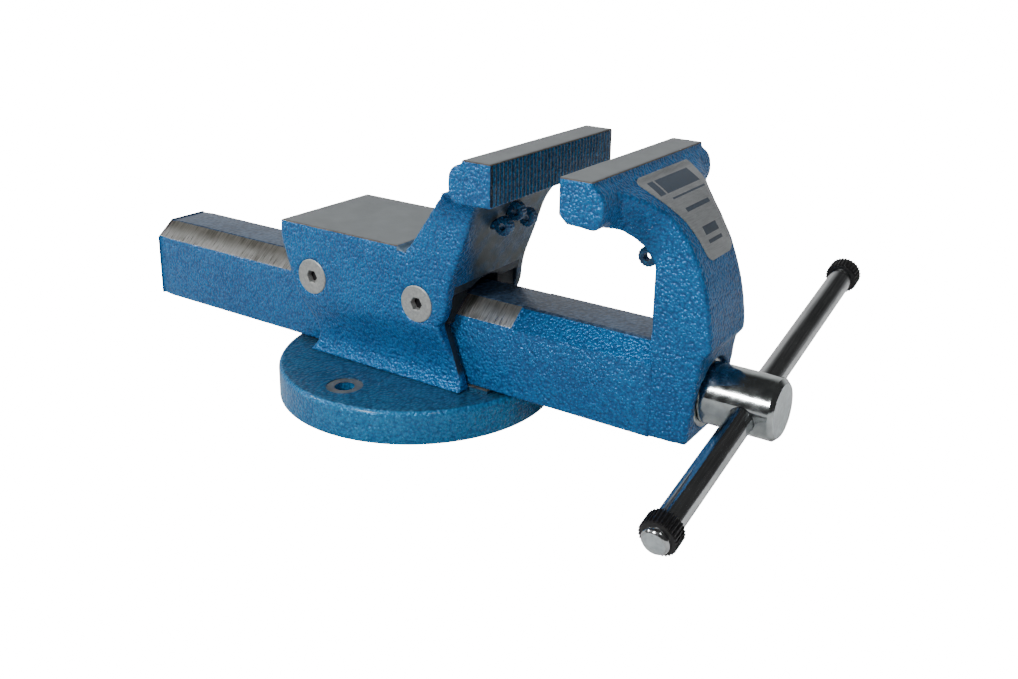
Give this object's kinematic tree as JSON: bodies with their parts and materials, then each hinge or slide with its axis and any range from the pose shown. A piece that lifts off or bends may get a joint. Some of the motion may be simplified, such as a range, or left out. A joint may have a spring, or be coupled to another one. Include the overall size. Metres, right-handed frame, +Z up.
{
  "type": "bench vise",
  "caption": "Forged steel bench vise with a round base, a chamfered slide bar through the body, a screw spindle and a sliding handle, its jaws part open.",
  "frame": {"origin": "centre of the round base's underside, where it sits on the bench", "axes": "+Z up, +X along the slide bar towards the moving jaw and the handle, Y along the jaws"},
  "size_m": [0.5014, 0.2979, 0.1855],
  "materials": {
    "blue_paint": "blue hammertone enamel over forged steel",
    "machined_steel": "ground and milled steel",
    "black_steel": "black oxide fasteners",
    "plated_steel": "bright zinc plate",
    "bronze": "turned bronze",
    "rubber": "ribbed black rubber",
    "label_foil": "printed foil"
  },
  "bodies": {
    "fixed": {"base_plate": "blue_paint", "fixed_jaw": "blue_paint", "gib_left": "machined_steel", "gib_right": "machined_steel", "gib_screws": "black_steel", "spindle_nut": "bronze", "nut_screws": "black_steel", "rear_pipe_studs": "blue_paint"},
    "moving": {"slide_bar": "blue_paint", "moving_jaw": "blue_paint", "label_plate": "label_foil", "spindle_bush": "bronze", "thrust_washer": "plated_steel", "inner_washer": "plated_steel", "front_pipe_studs": "blue_paint"},
    "spindle": {"spindle": "machined_steel", "retaining_collar": "black_steel", "collar_pin": "black_steel"},
    "handle": {"handle_bar": "plated_steel", "handle_grip_near": "rubber", "handle_grip_far": "rubber"}
  },
  "joints": [
    {"name": "jaw_slide", "type": "slide", "parent": "fixed", "child": "moving", "axis": [1, 0, 0], "range_m": [-0.0437, 0.136]},
    {"name": "spindle_turn", "type": "hinge", "parent": "moving", "child": "spindle", "pos_m": [0.2, 0, 0.051], "axis": [1, 0, 0], "range_deg": [-3150, 9795]},
    {"name": "handle_slide", "type": "slide", "parent": "spindle", "child": "handle", "axis": [0, 0.9774, 0.2113], "range_m": [-0.1395, 0.093]}
  ],
  "couplings": [
    {"joint": "spindle_turn", "follows": "jaw_slide", "rad_per_m": 1256.6}
  ]
}
